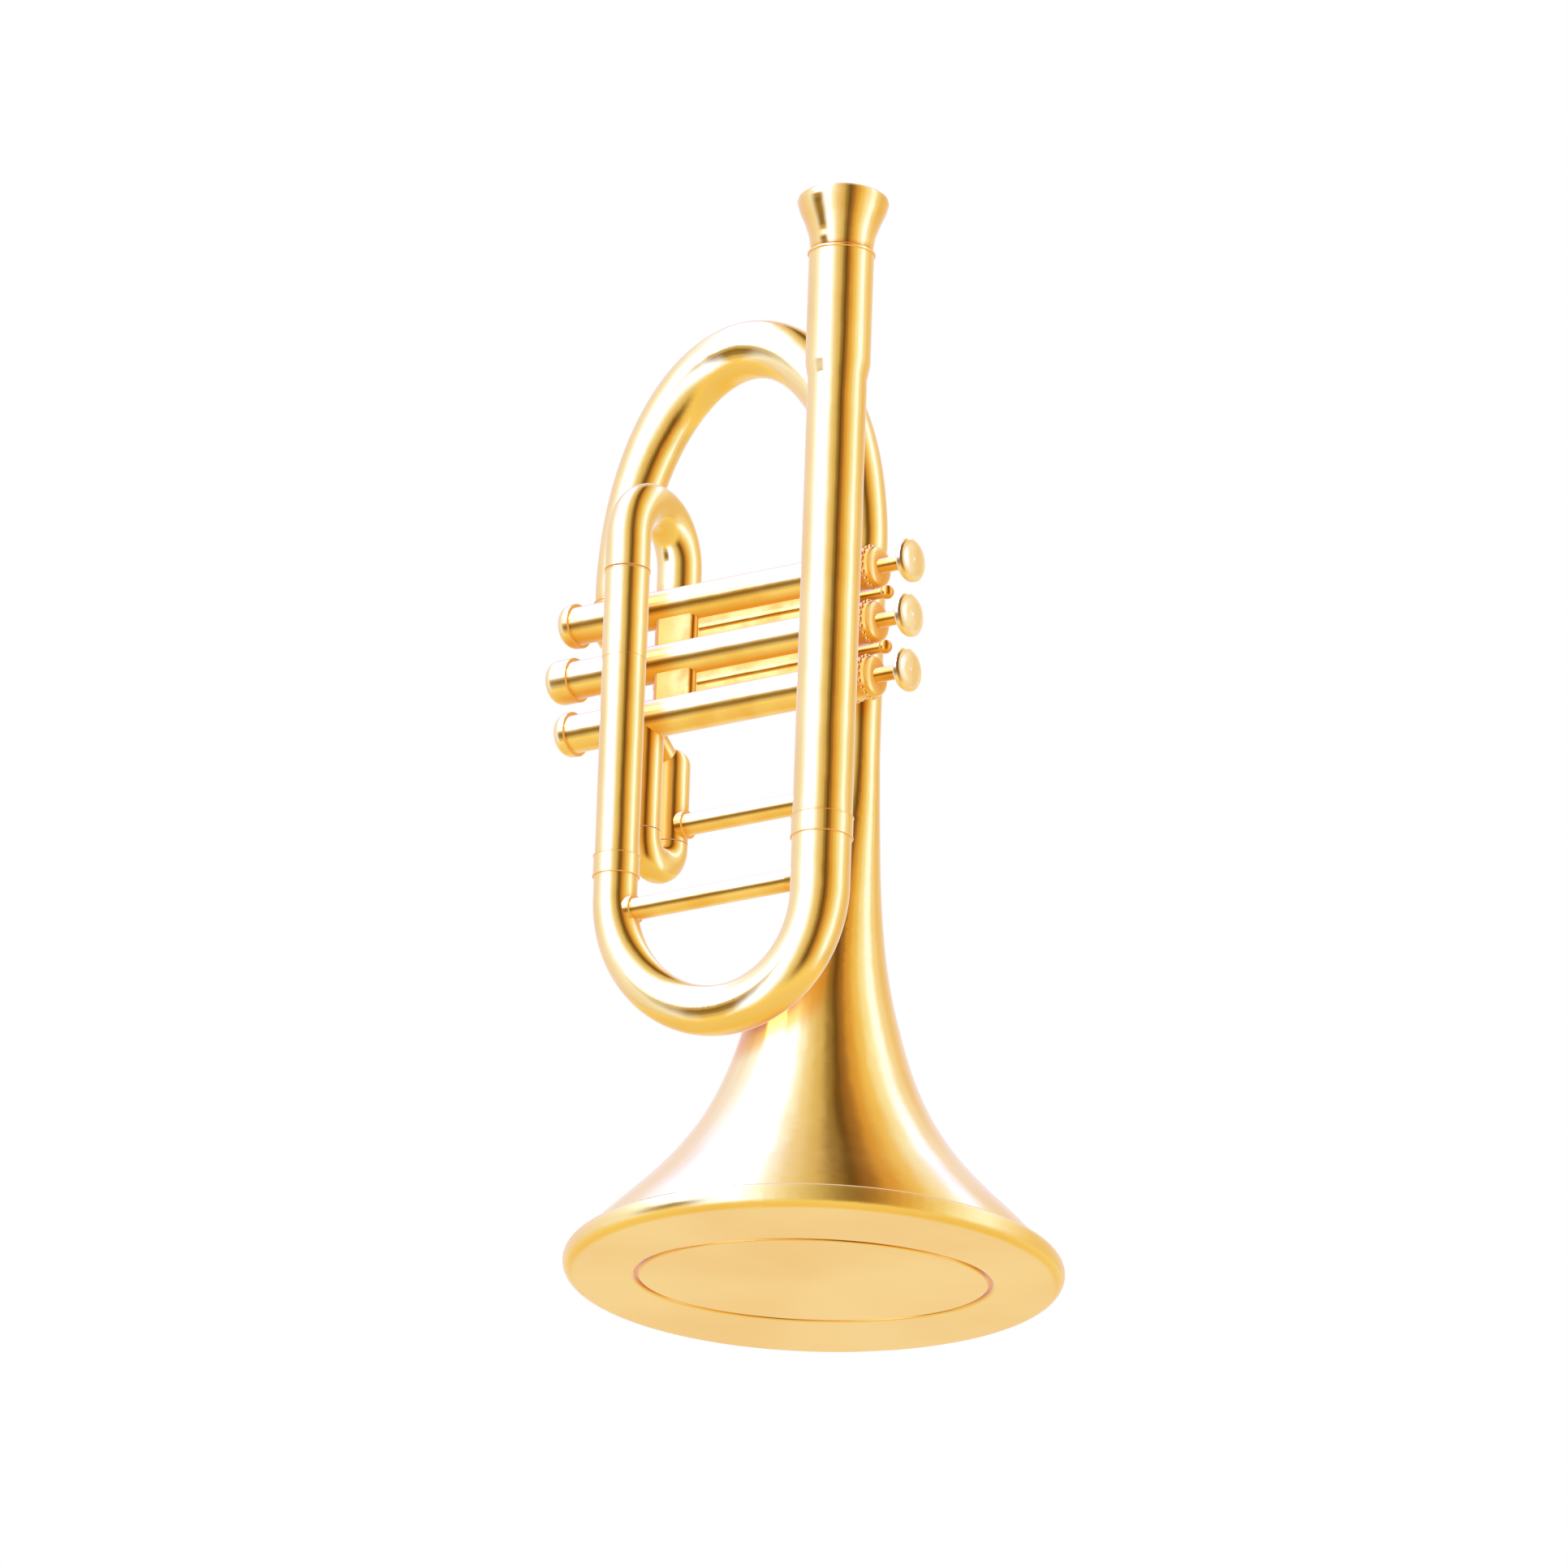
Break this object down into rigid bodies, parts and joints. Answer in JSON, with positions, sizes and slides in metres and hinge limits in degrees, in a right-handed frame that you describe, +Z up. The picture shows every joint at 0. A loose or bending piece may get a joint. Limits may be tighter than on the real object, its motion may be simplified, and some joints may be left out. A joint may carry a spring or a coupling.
{
  "type": "valve horn",
  "caption": "Brass valve horn in cornet form: bell, bow tubing, spring-return piston valves, tuning slides and a pull-out mouthpiece.",
  "frame": {"origin": "centre of the bell mouth, on the plane of the rim that the horn stands on", "axes": "+Z up the bell towards the mouthpiece, +X towards the finger buttons, -Y towards the leadpipe"},
  "size_m": [0.1742, 0.155, 0.343],
  "materials": {
    "gold_brass": "polished",
    "piston_metal": "lapped",
    "spring_steel": "drawn wire",
    "felt": "pressed felt"
  },
  "bodies": {
    "horn": {"bell_bow": "gold_brass", "bell_bow_ferrule_stem": "gold_brass", "bell_bow_ferrule_valve": "gold_brass", "bell_flare": "gold_brass", "bell_knuckle": "gold_brass", "bell_mouth_plate": "gold_brass", "bell_rim_ring": "gold_brass", "bell_tail": "gold_brass", "bottom_cap_1": "gold_brass", "bottom_cap_2": "gold_brass", "bottom_cap_3": "gold_brass", "casing_web_1": "gold_brass", "casing_web_2": "gold_brass", "feed_elbow": "gold_brass", "leadpipe": "gold_brass", "lower_brace": "gold_brass", "main_bow": "gold_brass", "main_bow_ferrule_lead": "gold_brass", "main_bow_ferrule_return": "gold_brass", "mouthpiece_receiver": "gold_brass", "post_bell_stem": "gold_brass", "post_leadpipe": "gold_brass", "return_pipe": "gold_brass", "third_elbow": "gold_brass", "third_sleeve_front": "gold_brass", "third_sleeve_rear": "gold_brass", "top_cap_1": "gold_brass", "top_cap_2": "gold_brass", "top_cap_3": "gold_brass", "tuning_sleeve_front": "gold_brass", "tuning_sleeve_rear": "gold_brass", "upper_brace": "gold_brass", "valve_casing_1": "gold_brass", "valve_casing_2": "gold_brass", "valve_casing_3": "gold_brass"},
    "valve_1": {"valve_piston_1": "piston_metal", "valve_stem_1": "gold_brass", "finger_button_1": "gold_brass", "button_inlay_1": "gold_brass", "button_felt_1": "felt", "valve_spring_1": "spring_steel"},
    "valve_2": {"valve_piston_2": "piston_metal", "valve_stem_2": "gold_brass", "finger_button_2": "gold_brass", "button_inlay_2": "gold_brass", "button_felt_2": "felt", "valve_spring_2": "spring_steel"},
    "valve_3": {"valve_piston_3": "piston_metal", "valve_stem_3": "gold_brass", "finger_button_3": "gold_brass", "button_inlay_3": "gold_brass", "button_felt_3": "felt", "valve_spring_3": "spring_steel"},
    "mouthpiece": {"mouthpiece": "gold_brass"},
    "tuning_slide": {"tuning_crook": "gold_brass"},
    "third_valve_slide": {"third_valve_crook": "gold_brass"}
  },
  "joints": [
    {"name": "valve_1_press", "type": "slide", "parent": "horn", "child": "valve_1", "axis": [-1, 0, 0], "range_m": [0, 0.0075], "stiffness_N_per_m": 150, "springref_m": -0.01, "deforming": ["valve_spring_1"]},
    {"name": "valve_2_press", "type": "slide", "parent": "horn", "child": "valve_2", "axis": [-1, 0, 0], "range_m": [0, 0.0075], "stiffness_N_per_m": 150, "springref_m": -0.01, "deforming": ["valve_spring_2"]},
    {"name": "valve_3_press", "type": "slide", "parent": "horn", "child": "valve_3", "axis": [-1, 0, 0], "range_m": [0, 0.0075], "stiffness_N_per_m": 150, "springref_m": -0.01, "deforming": ["valve_spring_3"]},
    {"name": "mouthpiece_pull", "type": "slide", "parent": "horn", "child": "mouthpiece", "axis": [0, 0, 1], "range_m": [0, 0.05]},
    {"name": "tuning_slide_pull", "type": "slide", "parent": "horn", "child": "tuning_slide", "axis": [0, 0, 1], "range_m": [0, 0.02]},
    {"name": "third_slide_pull", "type": "slide", "parent": "horn", "child": "third_valve_slide", "axis": [0, 0, -1], "range_m": [0, 0.017]}
  ]
}
